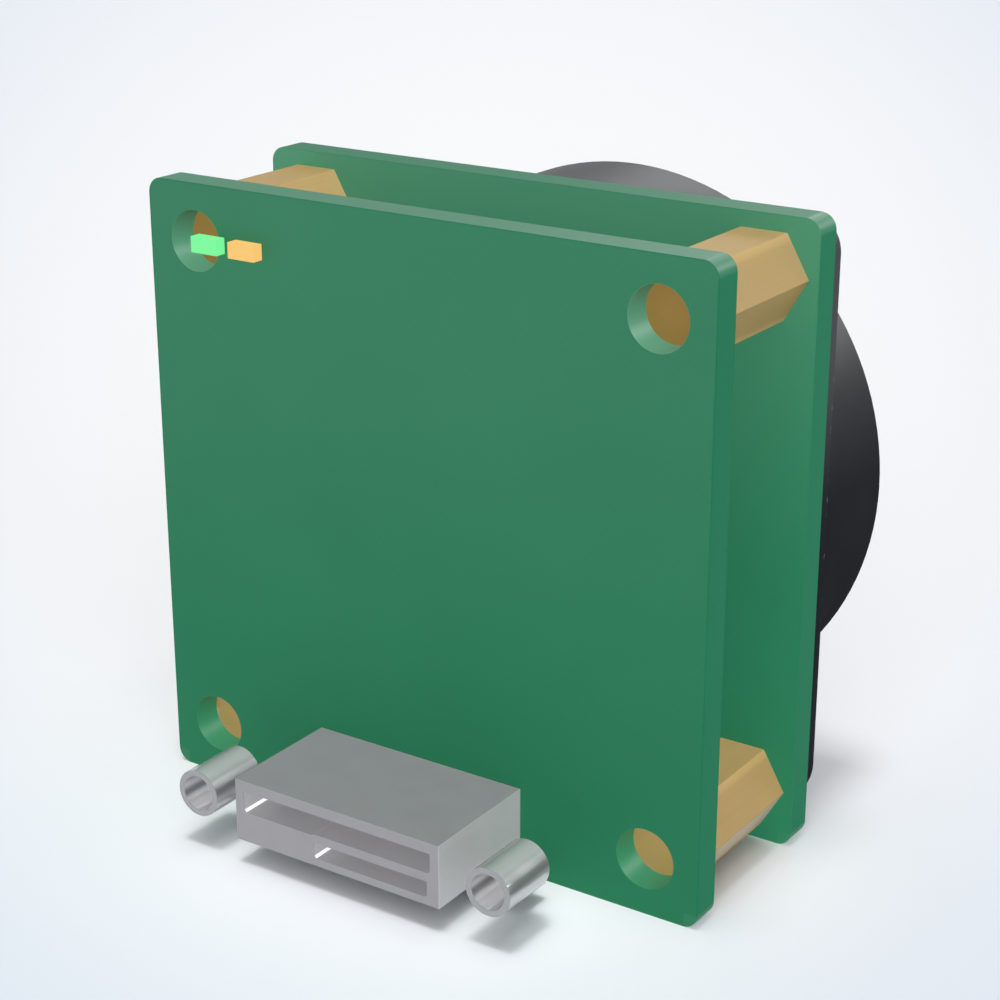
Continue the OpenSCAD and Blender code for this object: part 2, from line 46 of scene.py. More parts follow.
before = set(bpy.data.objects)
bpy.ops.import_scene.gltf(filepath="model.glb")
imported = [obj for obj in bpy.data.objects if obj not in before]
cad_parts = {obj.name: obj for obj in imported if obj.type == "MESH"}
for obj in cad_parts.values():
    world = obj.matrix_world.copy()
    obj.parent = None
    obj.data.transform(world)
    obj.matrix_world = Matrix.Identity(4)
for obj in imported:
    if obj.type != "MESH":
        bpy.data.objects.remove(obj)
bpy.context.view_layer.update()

MM = 0.001
INCH = 25.4
UP = Vector((0, 0, 1))
LENSWARD = Vector((0, 1, 0))
REARWARD = Vector((0, -1, 0))

# Width of the studio camera's picture plane, in millimetres
SENSOR_WIDTH = 36

# Places on the solids that the finishes go by, in millimetres
BOARD_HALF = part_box("rear_board")[1].x / MM
REAR_BOARD_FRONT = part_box("rear_board")[1].y / MM
FRONT_BOARD_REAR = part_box("front_board")[0].y / MM
PLATE_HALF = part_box("lens_plate")[1].x / MM
PLATE_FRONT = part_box("lens_plate")[1].y / MM
RING_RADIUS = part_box("lens_ring")[1].x / MM
SOCKET_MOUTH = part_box("usb_housing")[0].y / MM
SOCKET_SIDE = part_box("usb_housing")[1].x / MM
POST_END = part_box("lock_posts")[0].y / MM
HOLE_PLACE = 13.1
HOLE_RADIUS = 1.55
POST_PLACE = 8.71
POST_HEIGHT = -13.1
POST_BORE_RADIUS = 0.915
POST_BORE_DEPTH = 2.81
UPPER_SLOT_LEFT = -5.58
UPPER_SLOT_TOP = -12.02
LOWER_SLOT_LEFT = -1.27
LOWER_SLOT_TOP = -13.52
SLOT_BEVEL = 0.12
SLOT_STEP = 0.08


def colour_property(name, value, description):
    return FloatVectorProperty(
        name=name, description=description, default=value, subtype="COLOR", size=3, min=0, max=1
    )


def length_property(name, millimetres, description):
    return FloatProperty(
        name=name, description=description, default=millimetres * MM, unit="LENGTH", min=0, precision=5
    )


def brightness_property(name, value, description):
    return FloatProperty(name=name, description=description, default=value, min=0)


class FinishSettings(bpy.types.PropertyGroup):
    """Colours of the module's finishes."""

    mask: colour_property("Solder mask", (0.0165, 0.146, 0.0695), "Green lacquer on both boards")
    # Painted light: a paler lacquer for the front board's rear face, standing in for light that the gap
    # between the boards shades off.
    painted_light_mask: colour_property("Lit solder mask", (0.021, 0.178, 0.087), "Lacquer on the front board's rear")
    brass: colour_property("Brass", (0.405, 0.275, 0.104), "Hexagonal spacers")
    black: colour_property("Black anodising", (0.014, 0.0155, 0.0175), "Lens ring and mounting plate")
    screw: colour_property("Black oxide", (0.03, 0.03, 0.032), "Countersunk screws")
    steel: colour_property("Socket steel", (0.250, 0.244, 0.256), "Plated shell of the data socket")
    # Painted light: a paler steel for the socket's right side and the left end walls of its slots.
    socket_painted_light: colour_property("Brushed steel", (0.40, 0.40, 0.405), "The data socket's right side")
    bracket: colour_property("Tinned steel", (0.42, 0.42, 0.43), "Bracket that carries the posts")
    nickel: colour_property("Nickel", (0.60, 0.60, 0.61), "Bright lid of the clock oscillator")
    # Both post colours paint reflections: the dark one for the dark streaks along the lock posts, the gleam
    # for the pale ones.
    post: colour_property("Post plating", (0.20, 0.202, 0.208), "Dark streaks along the lock posts")
    post_painted_gleam: colour_property("Post gleam", (0.56, 0.558, 0.57), "Pale streaks along the lock posts")
    gold: colour_property("Gold", (0.80, 0.57, 0.20), "Contacts, pads and bond wires")
    tin: colour_property("Solder", (0.42, 0.43, 0.44), "Solder joints and tinned ends")
    plastic: colour_property("Black plastic", (0.018, 0.018, 0.020), "Moulded connector bodies")
    epoxy: colour_property("Chip epoxy", (0.026, 0.026, 0.028), "Moulded chip packages")
    ferrite: colour_property("Ferrite", (0.075, 0.075, 0.080), "Bodies of the inductors")
    capacitor: colour_property("Capacitor", (0.34, 0.225, 0.125), "Ceramic of the capacitors")
    alumina: colour_property("Alumina", (0.62, 0.58, 0.50), "Ceramic package of the image sensor")
    silicon: colour_property("Silicon", (0.13, 0.12, 0.17), "Image sensor die")
    ink: colour_property("White ink", (0.72, 0.73, 0.71), "Outlines printed round the circuit parts")
    green_light: colour_property("Green light", (0.209, 0.965, 0.347), "Lit green indicator")
    amber_light: colour_property("Amber light", (0.974, 0.591, 0.178), "Lit amber indicator")


class PartSettings(bpy.types.PropertyGroup):
    """Sizes of the small pieces."""

    lens_pitch: length_property("Lens thread pitch", INCH / 32, "Pitch of the lens thread")
    lens_depth: length_property("Lens thread depth", 0.43, "Height of the lens thread's ridge")
    post_pitch: length_property("Post thread pitch", 0.4, "Pitch of the lock posts' thread")
    post_depth: length_property("Post thread depth", 0.13, "Height of the lock posts' thread")
    post_plain: length_property("Plain lead-in", 1.75, "Plain depth in front of the posts' thread")
    wire: length_property("Bond wire", 0.035, "Diameter of a bond wire")
    track: length_property("Copper track", 0.18, "Width of a copper track under the lacquer")
    copper: length_property("Copper thickness", 0.03, "How far tracks and pads stand out")
    vias: IntProperty(name="Vias", description="Plated holes on each inner face", default=46, min=0, max=200)


class StudioSettings(bpy.types.PropertyGroup):
    """Camera, lamps and floor."""

    camera: FloatVectorProperty(
        name="Camera", description="Where the camera stands", default=(0.058003, -0.099121, 0.037754),
        unit="LENGTH",
    )
    aim: FloatVectorProperty(
        name="Aim", description="Point that the camera looks at", default=(0.000313, -0.013077, 0.000187),
        unit="LENGTH",
    )
    lens: FloatProperty(name="Focal length", description="Camera lens", default=78.67, unit="CAMERA")
    sky: brightness_property("Room light", 0.07, "Even light all round")
    overhead: brightness_property("Overhead lamp", 0.32, "From above, on the floor alone")
    soft: brightness_property("Soft overhead lamp", 0.38, "Wide light from above, on the floor alone")
    ceiling: brightness_property("Ceiling lamp", 0.34, "From above, on the module alone")
    front: brightness_property("Front panel", 0.42, "From beside the camera")
    key: brightness_property("Key lamp", 0.44, "From the camera, on the module alone")
    left: brightness_property("Left lamp", 0.16, "From the left, on the module alone")
    right: brightness_property("Right lamp", 0.04, "From the right, on the module alone")
    back: brightness_property("Back lamp", 0.20, "Sheen on the upper edges, on the module alone")
    strip: brightness_property("Strip lamp", 0.42, "Gleam on corners and bevels, on all but the posts")
    gleam: brightness_property("Post lamps", 0.12, "Narrow gleam on the lock posts alone")


def with_other(operation):
    """Shader maths between a wire and what stands after it."""
    return lambda wire, other: wire.math(operation, wire, other)


def after_other(operation):
    """Shader maths between a wire and the plain number that stands before it."""
    return lambda wire, other: wire.math(operation, other, wire)


def alone(operation):
    return lambda wire: wire.math(operation, wire)


class Wire:
    """An output socket, so that shader maths reads as plain expressions."""

    def __init__(self, tree, socket):
        self.tree = tree
        self.socket = socket

    def math(self, operation, *values):
        node = self.tree.nodes.new("ShaderNodeMath")
        node.operation = operation
        for value, socket in zip(values, node.inputs):
            plug(self.tree, value, socket)
        return Wire(self.tree, node.outputs[0])

    __add__, __radd__ = with_other("ADD"), after_other("ADD")
    __sub__, __rsub__ = with_other("SUBTRACT"), after_other("SUBTRACT")
    __mul__, __rmul__ = with_other("MULTIPLY"), after_other("MULTIPLY")
    __truediv__, __pow__ = with_other("DIVIDE"), with_other("POWER")
    above, below = with_other("MAXIMUM"), with_other("MINIMUM")
    __abs__, sine, root = alone("ABSOLUTE"), alone("SINE"), alone("SQRT")


def plug(tree, value, socket):
    """Links a wire to a socket, or sets the socket's own value."""
    if isinstance(value, Wire):
        tree.links.new(value.socket, socket)
    elif hasattr(value, "__len__") and len(value) == 3 and len(socket.default_value) == 4:
        socket.default_value = (*value, 1)
    else:
        socket.default_value = value


class Finish:
    """A procedural material round one Principled shader, read in object coordinates."""

    def __init__(self, name, **constants):
        self.material = bpy.data.materials.new(name)
        self.material.use_nodes = True
        self.tree = self.material.node_tree
        self.tree.nodes.clear()
        self.shader = self.tree.nodes.new("ShaderNodeBsdfPrincipled")
        output = self.tree.nodes.new("ShaderNodeOutputMaterial")
        self.tree.links.new(self.shader.outputs[0], output.inputs[0])
        self.set(**constants)
        self.place = self.node("ShaderNodeTexCoord", output="Object")

    def set(self, **sockets):
        for name, value in sockets.items():
            plug(self.tree, value, self.shader.inputs[name.replace("_", " ")])
        return self

    def node(self, kind, settings=None, sockets=None, output=0):
        """Adds a node: its settings first, then the values or links of its sockets."""
        made = self.tree.nodes.new(kind)
        for name, value in (settings or {}).items():
            setattr(made, name, value)
        for name, value in (sockets or {}).items():
            plug(self.tree, value, made.inputs[name])
        return Wire(self.tree, made.outputs[output])

    def axes(self):
        """X, Y and Z of the surface, in millimetres."""
        split = self.tree.nodes.new("ShaderNodeSeparateXYZ")
        plug(self.tree, self.place, split.inputs[0])
        return [Wire(self.tree, out) / MM for out in split.outputs]

    def noise(self, grain, detail=3.0, stretch=(1, 1, 1), contrast=0.5):
        """Noise from 0 to 1 with grains of about that many millimetres."""
        place = self.place
        if stretch != (1, 1, 1):
            place = self.node("ShaderNodeMapping", None, {"Vector": place, "Scale": stretch})
        return self.node("ShaderNodeTexNoise", None, {
            "Vector": place, "Scale": 1 / (grain * MM), "Detail": detail, "Roughness": contrast})

    def mix(self, factor, first, second):
        return self.node("ShaderNodeMix", {"data_type": "RGBA"}, {0: factor, 6: first, 7: second}, output=2)

    def clamp(self, value, low, high):
        """Rises from 0 to 1 as the value goes from low to high."""
        sockets = {"Value": value, "From Min": low, "From Max": high}
        return self.node("ShaderNodeMapRange", {"interpolation_type": "SMOOTHSTEP"}, sockets)

    def vary(self, colour, amount, factor):
        """The colour, darker and lighter by that share as the factor goes from 0 to 1."""
        dark = tuple(c * (1 - amount) for c in colour)
        light = tuple(min(1, c * (1 + amount)) for c in colour)
        return self.mix(factor, dark, light)

    def bump(self, height, depth):
        """Relief in which a height of 1 stands out by that many millimetres."""
        self.set(Normal=self.node("ShaderNodeBump", None, {"Height": height, "Distance": depth * MM}))
        return self


def settings():
    scene = bpy.context.scene
    return scene.module_finishes, scene.module_parts, scene.module_studio


def from_holes(x, z):
    """Distance from the axis of the nearest corner hole."""
    return ((abs(x) - HOLE_PLACE) ** 2 + (abs(z) - HOLE_PLACE) ** 2).root()


def scaled(colour, share, more=0.0):
    """The colour times a share, or a share for each channel, and some more of each."""
    shares = share if isinstance(share, tuple) else (share,) * 3
    mores = more if isinstance(more, tuple) else (more,) * 3
    return tuple(s * c + m for s, c, m in zip(shares, colour, mores))


def mask_finish(colours):
    """Green lacquer over woven glass, with a thicker glossy coat on corners and in holes, and the plies on
    the edges. Its colour holds painted light and shade: paler hole walls that whiten towards the top, less
    red side edges, and a paler rear face on the front board that brightens upwards.
    """
    finish = Finish("solder_mask", Specular_IOR_Level=0.06, Coat_Roughness=0.46, Coat_IOR=1.4)
    x, y, z = finish.axes()
    weave = (x * 11.0).sine() * (z * 11.0).sine()
    plies = finish.noise(0.9, 2.0, (0.12, 6.0, 0.12))
    cloud = finish.noise(7.0, 2.0)
    fine = finish.noise(0.12, 3.0)
    tone = 0.5 + (cloud - 0.5) * 0.5 + (plies - 0.5) * 0.35 + weave * 0.05

    def past(value, inset, depth):
        return finish.clamp(value, BOARD_HALF - inset, BOARD_HALF - inset + depth)

    def lacquer(colour):
        return finish.vary(colour, 0.07, tone)

    hole = finish.clamp(from_holes(x, z), HOLE_RADIUS + 0.006, HOLE_RADIUS + 0.003)
    corner = past(abs(x), 0.8, 0.15) * past(abs(z), 0.8, 0.15)
    edge = past(abs(x).above(abs(z)), 0.1, 0.09)
    side = past(abs(x), 0.1, 0.09)
    rear_top = past(z, 0.1, 0.09) * finish.clamp(y, REAR_BOARD_FRONT + 1.35, REAR_BOARD_FRONT + 0.35)
    face = finish.clamp(z, -14.0, 18.0) * 0.6 * (1 - edge) + (cloud - 0.5) * 0.1
    # Painted light: the front board's rear face is paler than the lacquer, and paler still towards its top.
    painted_light_face = finish.clamp(y, FRONT_BOARD_REAR + 0.02, FRONT_BOARD_REAR + 0.01)
    painted_light_face = painted_light_face * finish.clamp(y, FRONT_BOARD_REAR - 1.65, FRONT_BOARD_REAR - 0.65)
    mask, lit = colours.mask, colours.painted_light_mask
    # Painted shade: the boards' side edges get a less red, slightly darker lacquer.
    lacquer_with_shaded_sides = finish.mix(side, lacquer(mask), lacquer(scaled(mask, (0.3, 0.95, 0.92))))
    gap_painted_light = finish.mix(finish.clamp(z, -4.0, 20.0), lacquer(lit), scaled(lit, 1.15, 0.03))
    # Painted light and sheen: the hole walls are paler than the lacquer, and paler and whiter towards the
    # top.
    lower_hole_wall_light, upper_hole_wall_sheen = scaled(mask, 1.45, 0.004), scaled(mask, 1.6, (0.052, 0.03, 0.055))
    painted_hole_light = finish.mix(finish.clamp(z, -13.0, 13.0), lower_hole_wall_light, upper_hole_wall_sheen)
    finish.set(
        Base_Color=finish.mix(hole, finish.mix(painted_light_face, lacquer_with_shaded_sides, gap_painted_light), painted_hole_light),
        Roughness=0.46 + (fine - 0.5) * 0.08 + (cloud - 0.5) * 0.06,
        Coat_Weight=face.above(hole * 0.55).above(corner * 0.45).above(rear_top * 0.32),
    )
    return finish.bump(fine * 0.5 + weave * 0.12 + plies * 0.4, 0.0016).material


def brass_finish(colours):
    """Drawn hexagonal bar, turned flat at its ends, with painted shade on its outer flats and painted light
    beneath; its paler turned ends get more painted light towards the top.
    """
    finish = Finish("spacer_brass", Metallic=0.06, Specular_IOR_Level=0.1)
    x, y, z = finish.axes()
    rings = (from_holes(x, z) * 62.0).sine()
    drawn = finish.noise(0.5, 3.0, (1, 0.05, 1))
    tarnish = finish.noise(2.2, 3.0)
    tone = 0.5 + (tarnish - 0.5) * 0.8 + (drawn - 0.5) * 0.5 + rings * 0.06
    # Painted shade: the outer flats are darker than the rest of the bar.
    outer = finish.clamp(abs(x), HOLE_PLACE + 1.25, HOLE_PLACE + 1.5)
    # Painted light: the lower outer flats are paler.
    under = finish.clamp(z, -HOLE_PLACE - 0.02, -HOLE_PLACE - 0.15) * outer
    # The turned ends are a paler brass; the way they grow paler towards the top is painted light.
    turned_end_with_painted_light = finish.clamp(y, REAR_BOARD_FRONT + 0.07, REAR_BOARD_FRONT + 0.03) * (0.6 + z * 0.03)
    brass = colours.brass
    bar = finish.mix(outer, finish.vary(brass, 0.09, tone), finish.vary(scaled(brass, 0.8), 0.09, tone))
    bar = finish.mix(under, bar, scaled(brass, 0.55, 0.2))
    finish.set(
        Base_Color=finish.mix(turned_end_with_painted_light.below(1.0), bar, scaled(brass, (0.68, 0.58, 0.40))),
        Roughness=0.52 + (tarnish - 0.5) * 0.16 + (drawn - 0.5) * 0.1,
    )
    return finish.bump(drawn + rings * 0.18, 0.0022).material


def anodised_finish(colours, name, turned):
    """Black anodised aluminium, either turned round the optical axis or blasted, rubbed at its rim."""
    finish = Finish(name, Specular_IOR_Level=0.0, Coat_Roughness=0.4, Coat_IOR=1.3)
    x, y, z = finish.axes()
    cloud = finish.noise(5.0, 2.0)
    grain = finish.noise(0.07, 2.0)
    relief = grain * 0.6
    sheen = finish.clamp(z, 0.5, 9.5) * (0.62 + finish.clamp(x, 1.0, 9.0) * 0.2)
    if turned:
        radius = (x ** 2 + z ** 2).root()
        relief = relief + (y * 46.0).sine() * 0.35 + (radius * 46.0).sine() * 0.35
        rim = finish.clamp(radius, RING_RADIUS - 0.23, RING_RADIUS - 0.13) * finish.clamp(y, -0.2, -0.1)
        sheen = 0.5 + finish.clamp(radius, RING_RADIUS - 0.29, RING_RADIUS - 0.23) * (sheen - 0.46)
    else:
        rim = finish.clamp(abs(x).above(abs(z)), PLATE_HALF - 0.13, PLATE_HALF - 0.03)
        rim = rim * finish.clamp(y, PLATE_FRONT - 0.17, PLATE_FRONT - 0.05)
        sheen = sheen + 0.04
    wear = rim * finish.clamp(finish.noise(0.6, 4.0), 0.52, 0.78)
    finish.set(
        Base_Color=finish.mix(wear * 0.6, finish.vary(colours.black, 0.14, cloud), (0.21, 0.21, 0.216)),
        Roughness=0.40 + (grain - 0.5) * 0.12 + (cloud - 0.5) * 0.08,
        Metallic=wear * 0.5,
        Coat_Weight=sheen + (cloud - 0.5) * 0.06,
    )
    return finish.bump(relief, 0.0018).material


def post_painted_reflections(finish):
    """Painted reflections: pale and dark streaks along both lock posts, round their axes."""
    x, y, z = finish.axes()
    across, rise = x - x.math("SIGN", x) * POST_PLACE, z - POST_HEIGHT
    radius = (across ** 2 + rise ** 2).root()
    outwards = finish.clamp(radius, POST_BORE_RADIUS + 0.135, POST_BORE_RADIUS + 0.185) * 2 - 1
    angle = rise.math("ARCTAN2", rise * outwards, across * outwards)
    round_wall = finish.clamp(radius, 0.3, 0.7) * finish.clamp(y, POST_END + 0.01, POST_END + 0.03)
    streaks = finish.clamp(angle, 0.27, 1.1) + finish.clamp(angle, 0.27, -0.09) * 0.75
    streaks = streaks - finish.clamp(angle, 1.3, 2.2) * 0.6 - finish.clamp(angle, -1.0, -2.6) * 0.5
    return 0.3 + (streaks - 0.3) * round_wall


def within(finish, value, low, high):
    """Band from low to high, with soft ends inside it."""
    middle, half = (low + high) / 2, (high - low) / 2
    return finish.clamp(abs(value - middle), half - 0.003, half - 0.008)


def in_slots(finish, y, z):
    """Inside the socket's mouth, below its roof."""
    mouth = finish.clamp(y, SOCKET_MOUTH + 0.02, SOCKET_MOUTH + 0.05)
    return mouth * finish.clamp(z, UPPER_SLOT_TOP + 0.22, UPPER_SLOT_TOP + 0.02)


def socket_painted_light_places(finish):
    """Where the data socket gets painted light: its right side and the left ends of its two slots."""
    x, y, z = finish.axes()
    ends = [finish.clamp(abs(x - left), 0.02, 0.005) for left in (UPPER_SLOT_LEFT, LOWER_SLOT_LEFT)]
    side = finish.clamp(x, SOCKET_SIDE - 0.05, SOCKET_SIDE - 0.01)
    return side.above(ends[0].above(ends[1]) * in_slots(finish, y, z))


def socket_painted_glints(finish):
    """Where the data socket gets painted glints: bevels at the left ends of the slots' floors, and the step
    in the upper floor.
    """
    x, y, z = finish.axes()
    low = finish.clamp(z, LOWER_SLOT_TOP + 0.32, LOWER_SLOT_TOP + 0.12)
    upper = within(finish, x, UPPER_SLOT_LEFT, UPPER_SLOT_LEFT + SLOT_BEVEL)
    lower = within(finish, x, LOWER_SLOT_LEFT, LOWER_SLOT_LEFT + SLOT_BEVEL) * low
    step = within(finish, x, LOWER_SLOT_LEFT - SLOT_STEP, LOWER_SLOT_LEFT) * (1 - low)
    return upper.above(lower).above(step * 0.7) * in_slots(finish, y, z)


def metal_finish(name, colour, roughness, grain=0.3, stretch=(1, 1, 1), metallic=1.0, depth=0.001, layers=()):
    """Plated or rolled metal with fine lines along the stretched way, stains and rubbed spots.
    Each layer is a colour and the function that says where it lies."""
    finish = Finish(name, Metallic=metallic)
    lines = finish.noise(grain, 3.0, stretch)
    stains = finish.noise(1.6, 4.0)
    rubbed = finish.clamp(finish.noise(0.45, 5.0), 0.60, 0.75)
    tone = 0.5 + (lines - 0.5) * 0.5 + (stains - 0.5) * 0.8
    base = finish.vary(colour, 0.07, tone)
    for second, where in layers:
        base = finish.mix(where(finish), base, finish.vary(second, 0.07, tone))
    finish.set(
        Base_Color=base,
        Roughness=roughness + (stains - 0.5) * 0.10 + (lines - 0.5) * 0.08 + rubbed * 0.05,
    )
    return finish.bump(lines, depth).material


def moulded_finish(name, colour, roughness, grain=0.09, depth=0.002, spread=0.10):
    """Moulded plastic, epoxy or ferrite: fine pores, flow marks and a slightly uneven gloss."""
    finish = Finish(name, Specular_IOR_Level=0.4)
    pores = finish.noise(grain, 3.0)
    flow = finish.noise(1.8, 3.0, (1, 0.4, 1))
    finish.set(
        Base_Color=finish.vary(colour, spread, 0.5 + (flow - 0.5) * 0.8 + (pores - 0.5) * 0.6),
        Roughness=roughness + (pores - 0.5) * 0.14 + (flow - 0.5) * 0.08,
    )
    return finish.bump(pores, depth).material


def light_finish(name, colour):
    """Lit lens of an indicator: even, with a slightly warmer heart and moulding grain."""
    finish = Finish(name, Roughness=0.35, Specular_IOR_Level=0.15, Emission_Strength=1.0)
    heart = finish.noise(0.5, 1.0)
    grain = finish.noise(0.05, 2.0)
    finish.set(
        Base_Color=finish.vary(scaled(colour, 0.05), 0.2, grain),
        Emission_Color=finish.vary(scaled(colour, 0.91), 0.02, heart),
    )
    return finish.bump(grain, 0.0006).material


def glass_finish(name, tint, alpha, coat_tint):
    """Thin coated window: clear, tinted, with faint marks from cleaning."""
    finish = Finish(name, IOR=1.5, Coat_Roughness=0.05, Coat_IOR=1.7)
    marks = finish.noise(2.5, 4.0)
    dust = finish.clamp(finish.noise(0.18, 4.0), 0.70, 0.80)
    finish.set(
        Base_Color=finish.mix(marks, tint, coat_tint),
        Alpha=alpha + dust * 0.2 + (marks - 0.5) * 0.04,
        Roughness=0.05 + dust * 0.35,
        Coat_Weight=0.25 + (marks - 0.5) * 0.15,
    )
    return finish.material


def pixel_finish():
    """Pixel field of the sensor: a fine grid that shifts in colour with the angle."""
    finish = Finish("sensor_pixels", Specular_IOR_Level=0.7)
    x, _, z = finish.axes()
    grid = (x * 48.0).sine() * (z * 48.0).sine()
    glancing = finish.node("ShaderNodeLayerWeight", None, {"Blend": 0.35}, output="Facing")
    sheen = finish.mix(glancing, (0.05, 0.11, 0.09), (0.20, 0.08, 0.17))
    cloud = finish.noise(3.0, 2.0)
    finish.set(
        Base_Color=finish.mix(0.5 + grid * 0.12 + (cloud - 0.5) * 0.3, sheen, (0.10, 0.10, 0.14)),
        Roughness=0.22 + cloud * 0.06,
    )
    return finish.bump(grid, 0.0008).material


def floor_finish(studio, level):
    """Pale studio floor, whitest where the camera sees the module, with painted shade that makes it darker
    and bluer towards the picture's edges.
    """
    finish = Finish("studio_floor", Roughness=0.9, Specular_IOR_Level=0.0)
    x, y, _ = finish.axes()
    camera = Vector(studio.camera)
    ahead = (Vector(studio.aim) - camera).normalized()
    right = ahead.cross(UP).normalized()
    upward = right.cross(ahead)

    def along(way):
        return x * way.x + y * way.y + (level * way.z - camera.dot(way)) / MM

    half_picture = along(ahead).above(25.0) * (SENSOR_WIDTH / 2 / studio.lens)
    across, rise = along(right) / half_picture, along(upward) / half_picture
    spread = across ** 2 * 0.8 + (rise - 0.14) ** 2 * 0.9
    beyond = finish.clamp(abs(across).above(abs(rise)), 1.0, 1.9)
    far = finish.clamp((x ** 2 + y ** 2).root(), 450.0, 1100.0)
    tone = finish.clamp(spread, 0.0, 2.3) * (1 - beyond * 0.75) * (1 - far)
    speckle = finish.noise(0.6, 2.0)
    # Painted shade: the floor turns darker and bluer towards the picture's edges.
    pale = finish.mix(tone, (0.975, 0.98, 0.99), (0.77, 0.825, 0.91))
    finish.set(Base_Color=finish.mix(speckle * 0.01, pale, (0.9, 0.9, 0.9)))
    return finish.material


def dress(material, *nodes):
    """Gives solid parts a finish by their own material slots."""
    for name in nodes:
        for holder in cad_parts[name].material_slots:
            holder.material = material


def placed(name, data):
    """Object in the scene that holds the data."""
    made = bpy.data.objects.new(name, data)
    bpy.context.scene.collection.objects.link(made)
    return made


def shaped(bm, name, material):
    """Object in the scene from a bmesh, in one material."""
    mesh = bpy.data.meshes.new(name)
    bm.to_mesh(mesh)
    bm.free()
    mesh.materials.append(material)
    return placed(name, mesh)


def finish_piece(bm, name, material, stands_for=(), smooth=35, merge=True):
    """Turns a bmesh into a piece that rides on the module, with its double points merged."""
    if merge:
        bmesh.ops.remove_doubles(bm, verts=bm.verts, dist=1e-7)
        bmesh.ops.recalc_face_normals(bm, faces=bm.faces)
    piece = shaped(bm, name, material)
    piece.data.shade_smooth()
    piece.data.set_sharp_from_angle(angle=math.radians(smooth))
    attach(piece, "root")
    if stands_for:
        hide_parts(*stands_for)
    return piece


def solids(node):
    """Lowest and highest corner of each separate solid of a node."""
    bm = bmesh.new()
    bm.from_mesh(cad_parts[node].data)
    bmesh.ops.remove_doubles(bm, verts=bm.verts, dist=1e-6)
    left = set(bm.verts)
    boxes = []
    while left:
        group = [left.pop()]
        for vertex in group:
            for edge in vertex.link_edges:
                other = edge.other_vert(vertex)
                if other in left:
                    left.discard(other)
                    group.append(other)
        corners = [[pick(v.co[i] for v in group) for i in range(3)] for pick in (min, max)]
        boxes.append([Vector(corner) for corner in corners])
    bm.free()
    return sorted(boxes, key=lambda box: tuple(box[0]))


def only(kind, items):
    """Those of the items that are of that bmesh type."""
    return [item for item in items if isinstance(item, kind)]


def edges_at(verts):
    return list({edge for vertex in verts for edge in vertex.link_edges})


def stance(low, high):
    """The way in which a circuit part stands off its board, and the level of that board's face."""
    on_rear = low.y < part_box("rear_board")[1].y + 0.5 * MM
    return (LENSWARD, low.y) if on_rear else (REARWARD, high.y)


def block(bm, low, high, bevel=0.0, segments=2):
    """Box between two corners, with rounded edges."""
    low, high = Vector(low), Vector(high)
    verts = bmesh.ops.create_cube(bm, size=1)["verts"]
    bmesh.ops.scale(bm, vec=high - low, verts=verts)
    bmesh.ops.translate(bm, vec=(low + high) / 2, verts=verts)
    if bevel:
        bmesh.ops.bevel(
            bm, geom=edges_at(verts), offset=bevel, segments=segments, affect="EDGES",
            profile=0.5, material=-1,
        )


def facing(direction):
    """Turns +Z to that direction."""
    return UP.rotation_difference(Vector(direction)).to_matrix().to_4x4()


def disc(bm, centre, direction, radius, thickness, segments=24, top_radius=None):
    """Short round post that stands on its centre point."""
    place = Matrix.Translation(Vector(centre) + Vector(direction) * thickness / 2) @ facing(direction)
    bmesh.ops.create_cone(
        bm, cap_ends=True, segments=segments, radius1=radius,
        radius2=radius if top_radius is None else top_radius, depth=thickness, matrix=place,
    )


def turn(bm, outline, centre, axis, steps, angle=math.tau, advance=0.0):
    """Spins a closed outline of points round an axis, as a ring or as a screw."""
    verts = [bm.verts.new(point) for point in outline]
    edges = [bm.edges.new((a, b)) for a, b in zip(verts, verts[1:] + verts[:1])]
    whole = advance == 0.0 and abs(angle - math.tau) < 1e-6
    made = bmesh.ops.spin(
        bm, geom=verts + edges, cent=centre, axis=axis, dvec=Vector(axis) * advance / steps,
        angle=angle, steps=steps, use_merge=whole, use_normal_flip=False, use_duplicate=False,
    )
    if not whole:
        bm.faces.new(verts)
        bm.faces.new(only(bmesh.types.BMVert, made["geom_last"]))


def screw_ridge(bm, centre, radius, depth, pitch, length, steps):
    """Inside thread: a ridge on the bore's wall, from the centre point along the lens's way."""
    turns = length / pitch - 1
    wide, crest, seat = pitch * 0.42, pitch * 0.07, 0.01 * MM
    outline = [(seat, -wide), (-depth, -crest), (-depth, crest), (seat, wide)]
    points = [centre + Vector((radius + out, pitch / 2 + along, 0)) for out, along in outline]
    turn(bm, points, centre, LENSWARD, round(steps * turns), math.tau * turns, turns * pitch)


def wedge(bm, foot, outward, up, width, length, height):
    """Solder fillet: stands against a side and slopes outwards to its pad."""
    outward, up = Vector(outward), Vector(up)
    across = outward.cross(up)
    verts = bmesh.ops.create_cube(bm, size=1)["verts"]
    for vertex in verts:
        a, b, c = vertex.co
        if b > 0 and c > 0:
            c = -0.32
        elif b < 0 < c:
            b = -0.5
        vertex.co = foot + across * a * width + outward * (b + 0.5) * length + up * (c + 0.5) * height


class PieceOperator:
    """Shared by all operators."""

    bl_options = {"REGISTER", "UNDO"}


